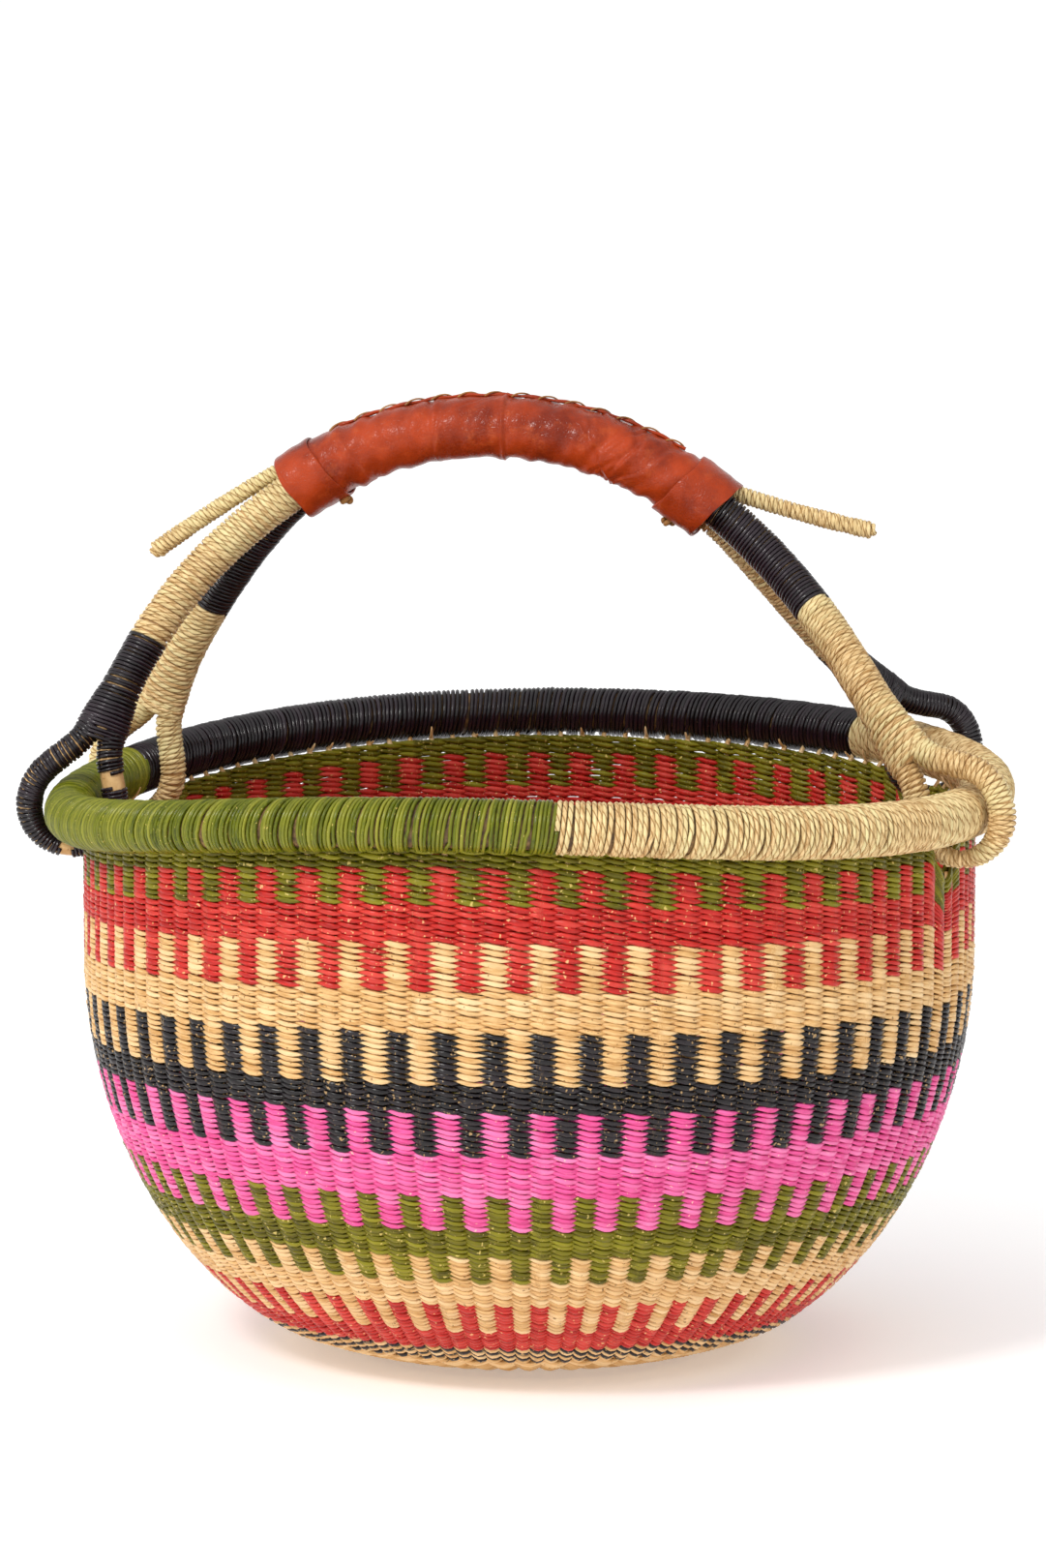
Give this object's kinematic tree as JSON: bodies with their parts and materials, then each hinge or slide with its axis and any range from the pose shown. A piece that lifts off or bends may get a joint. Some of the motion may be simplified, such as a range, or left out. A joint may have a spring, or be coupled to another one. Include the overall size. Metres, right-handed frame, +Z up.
{
  "type": "woven market basket",
  "caption": "Round twined grass bowl with a wrapped rim hoop and a leather-gripped double handle whose four forked ends loop round the rim.",
  "frame": {"origin": "centre of the flat base, on the surface that the basket stands on", "axes": "+X to the right along the handle's longer reach, +Y to the back, +Z up out of the mouth"},
  "size_m": [0.456, 0.442, 0.4364],
  "materials": {
    "grass_natural": "dry grass, satin",
    "grass_green": "dyed grass, satin",
    "grass_red": "dyed grass, satin",
    "grass_black": "dyed grass, satin",
    "grass_pink": "dyed grass, satin",
    "grass_zigzag": "black and natural grass, satin",
    "stalk": "bare grass stalks",
    "leather": "glossy tanned goatskin"
  },
  "bodies": {
    "basket": {"base": "grass_natural", "weave_zigzag_rows": "grass_zigzag", "weave_red_lower": "grass_red", "weave_natural_lower": "grass_natural", "weave_green_lower": "grass_green", "weave_pink": "grass_pink", "weave_black": "grass_black", "weave_natural_upper": "grass_natural", "weave_red_upper": "grass_red", "weave_green_upper": "grass_green", "stake_ends": "stalk", "rim_core": "stalk", "rim_wrap_natural": "grass_natural", "rim_wrap_black": "grass_black", "rim_wrap_green": "grass_green"},
    "handle": {"front_handle_core": "stalk", "back_handle_core": "stalk", "front_left_leg_wrap": "grass_natural", "front_left_fork_wrap": "grass_black", "back_left_leg_wrap": "grass_black", "back_left_fork_wrap": "grass_natural", "front_right_leg_wrap": "grass_black", "front_right_fork_wrap": "grass_natural", "back_right_leg_wrap": "grass_natural", "back_right_fork_wrap": "grass_black", "grip_leather": "leather", "grip_padding": "stalk", "left_grip_band": "leather", "right_grip_band": "leather", "grip_seam": "leather", "grip_lacing": "leather", "left_knot": "leather", "right_knot": "leather", "left_tail": "grass_natural", "right_tail": "grass_natural"}
  },
  "joints": [
    {"name": "handle_rock", "type": "hinge", "parent": "basket", "child": "handle", "pos_m": [-0.00326, 0.02718, 0.25372], "axis": [0.9911, -0.1308, 0.0229], "range_deg": [-2, 2]}
  ]
}
